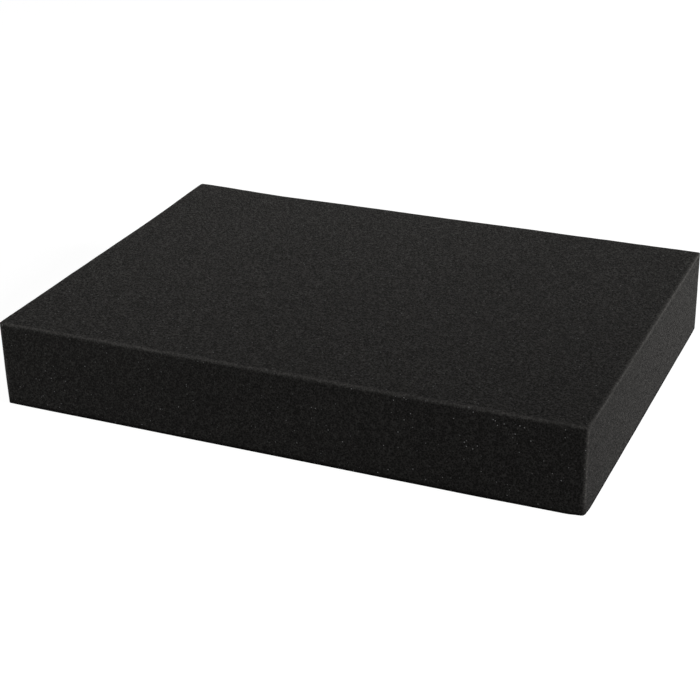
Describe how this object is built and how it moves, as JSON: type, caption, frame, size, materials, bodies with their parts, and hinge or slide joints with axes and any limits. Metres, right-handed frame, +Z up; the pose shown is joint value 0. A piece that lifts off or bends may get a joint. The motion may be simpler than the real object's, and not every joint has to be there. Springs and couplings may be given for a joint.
{
  "type": "foam block",
  "caption": "Flat rectangular block of soft dark open-cell foam, saw-cut on all sides, used as a cushioned base, support or packing insert.",
  "frame": {"origin": "centre of the underside, on the surface that the block lies on", "axes": "+X along the length, +Y along the width, +Z up through the thickness"},
  "size_m": [0.5, 0.35, 0.075],
  "materials": {
    "charcoal_foam": "open cells"
  },
  "bodies": {
    "root": {"foam_block": "charcoal_foam"}
  },
  "joints": []
}
